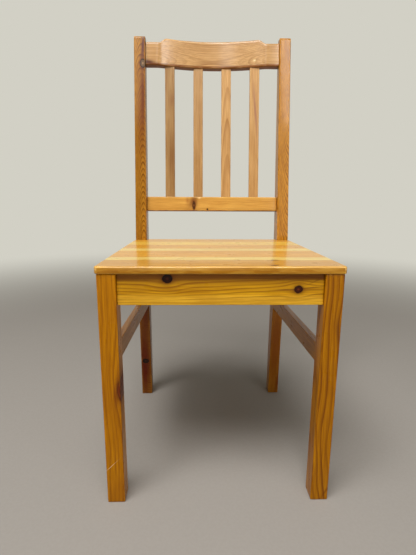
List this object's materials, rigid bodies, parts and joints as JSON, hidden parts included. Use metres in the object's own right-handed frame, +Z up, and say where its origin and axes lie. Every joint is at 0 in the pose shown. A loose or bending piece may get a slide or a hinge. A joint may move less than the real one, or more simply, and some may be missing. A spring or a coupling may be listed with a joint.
{
  "type": "dining chair",
  "caption": "Varnished pine dining chair with a flat seat, plain aprons, straight front legs, swept rear posts, side stretchers and a raked back with upright slats under a shaped crest rail.",
  "frame": {"origin": "on the floor, under the middle of the chair's box", "axes": "+Z up; the chair faces -Y; +X towards its right-hand side as seen from in front"},
  "size_m": [0.4202, 0.4883, 0.95],
  "materials": {
    "front_leg_varnish": "amber gloss varnish on knotty pine, worn and scratched",
    "rear_post_varnish": "amber gloss varnish on knotty pine",
    "apron_varnish": "amber gloss varnish on knotty pine, brown grain lines",
    "seat_varnish": "honey gloss varnish on pine staves that differ in shade",
    "crest_varnish": "honey gloss varnish on pine",
    "rail_varnish": "honey gloss varnish on knotty pine",
    "slat_varnish": "honey gloss varnish on pine",
    "stretcher_varnish": "amber gloss varnish on pine",
    "bare_pine": "bare sawn pine",
    "beech": "bare beech",
    "steel": "zinc-plated steel"
  },
  "bodies": {
    "root": {"back_slat_1": "slat_varnish", "back_slat_2": "slat_varnish", "back_slat_3": "slat_varnish", "back_slat_4": "slat_varnish", "block_screw_front_left_1": "steel", "block_screw_front_left_2": "steel", "block_screw_front_right_1": "steel", "block_screw_front_right_2": "steel", "block_screw_rear_left_1": "steel", "block_screw_rear_left_2": "steel", "block_screw_rear_right_1": "steel", "block_screw_rear_right_2": "steel", "corner_block_front_left": "bare_pine", "corner_block_front_right": "bare_pine", "corner_block_rear_left": "bare_pine", "corner_block_rear_right": "bare_pine", "crest_dowel_1": "beech", "crest_dowel_2": "beech", "crest_dowel_3": "beech", "crest_dowel_4": "beech", "crest_rail": "crest_varnish", "front_apron": "apron_varnish", "front_apron_dowel_1": "beech", "front_apron_dowel_2": "beech", "front_apron_dowel_3": "beech", "front_apron_dowel_4": "beech", "front_leg_left": "front_leg_varnish", "front_leg_right": "front_leg_varnish", "lower_back_rail": "rail_varnish", "lower_rail_dowel_1": "beech", "lower_rail_dowel_2": "beech", "lower_rail_dowel_3": "beech", "lower_rail_dowel_4": "beech", "rear_apron": "apron_varnish", "rear_apron_dowel_1": "beech", "rear_apron_dowel_2": "beech", "rear_apron_dowel_3": "beech", "rear_apron_dowel_4": "beech", "rear_post_left": "rear_post_varnish", "rear_post_right": "rear_post_varnish", "seat_board_1": "seat_varnish", "seat_board_2": "seat_varnish", "seat_board_3": "seat_varnish", "seat_board_4": "seat_varnish", "seat_board_5": "seat_varnish", "seat_screw_front_left": "steel", "seat_screw_front_right": "steel", "seat_screw_rear_left": "steel", "seat_screw_rear_right": "steel", "side_apron_left": "apron_varnish", "side_apron_right": "apron_varnish", "side_stretcher_left": "stretcher_varnish", "side_stretcher_right": "stretcher_varnish"}
  },
  "joints": []
}
